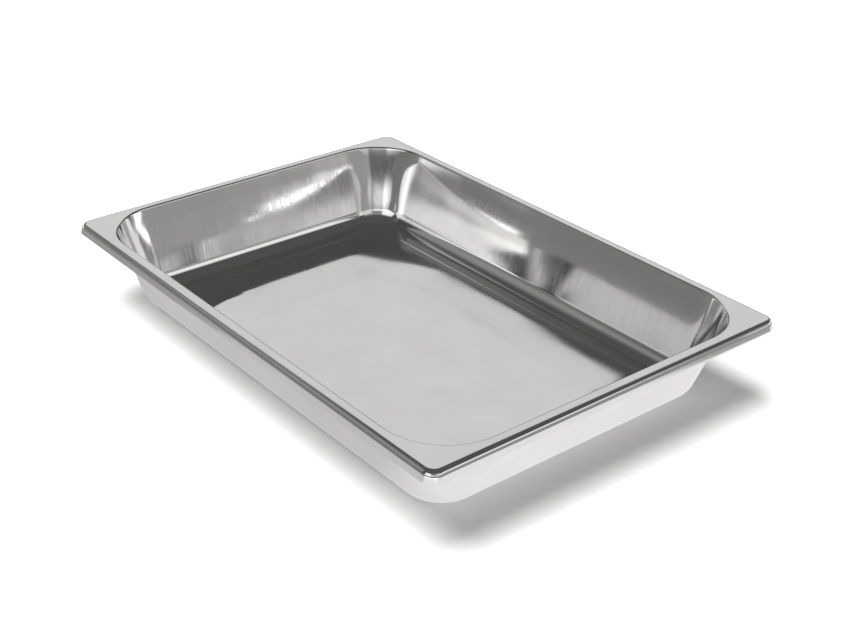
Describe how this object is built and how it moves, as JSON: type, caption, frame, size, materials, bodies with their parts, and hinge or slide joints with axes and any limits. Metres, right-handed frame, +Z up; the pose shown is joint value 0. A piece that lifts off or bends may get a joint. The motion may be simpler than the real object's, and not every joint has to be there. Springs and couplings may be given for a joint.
{
  "type": "developing tray",
  "caption": "Shallow open tray, deep-drawn in one piece from polished stainless sheet, with sloping walls and a flat rolled rim, for holding print or film baths.",
  "frame": {"origin": "centre of the underside of the base, which is the face the tray stands on", "axes": "+X along the long side, +Y along the short side, +Z up out of the tray's mouth"},
  "size_m": [0.442, 0.322, 0.0665],
  "materials": {
    "polished_stainless": "polished stainless sheet with faint polishing marks"
  },
  "bodies": {
    "root": {"tray_pan": "polished_stainless"}
  },
  "joints": []
}
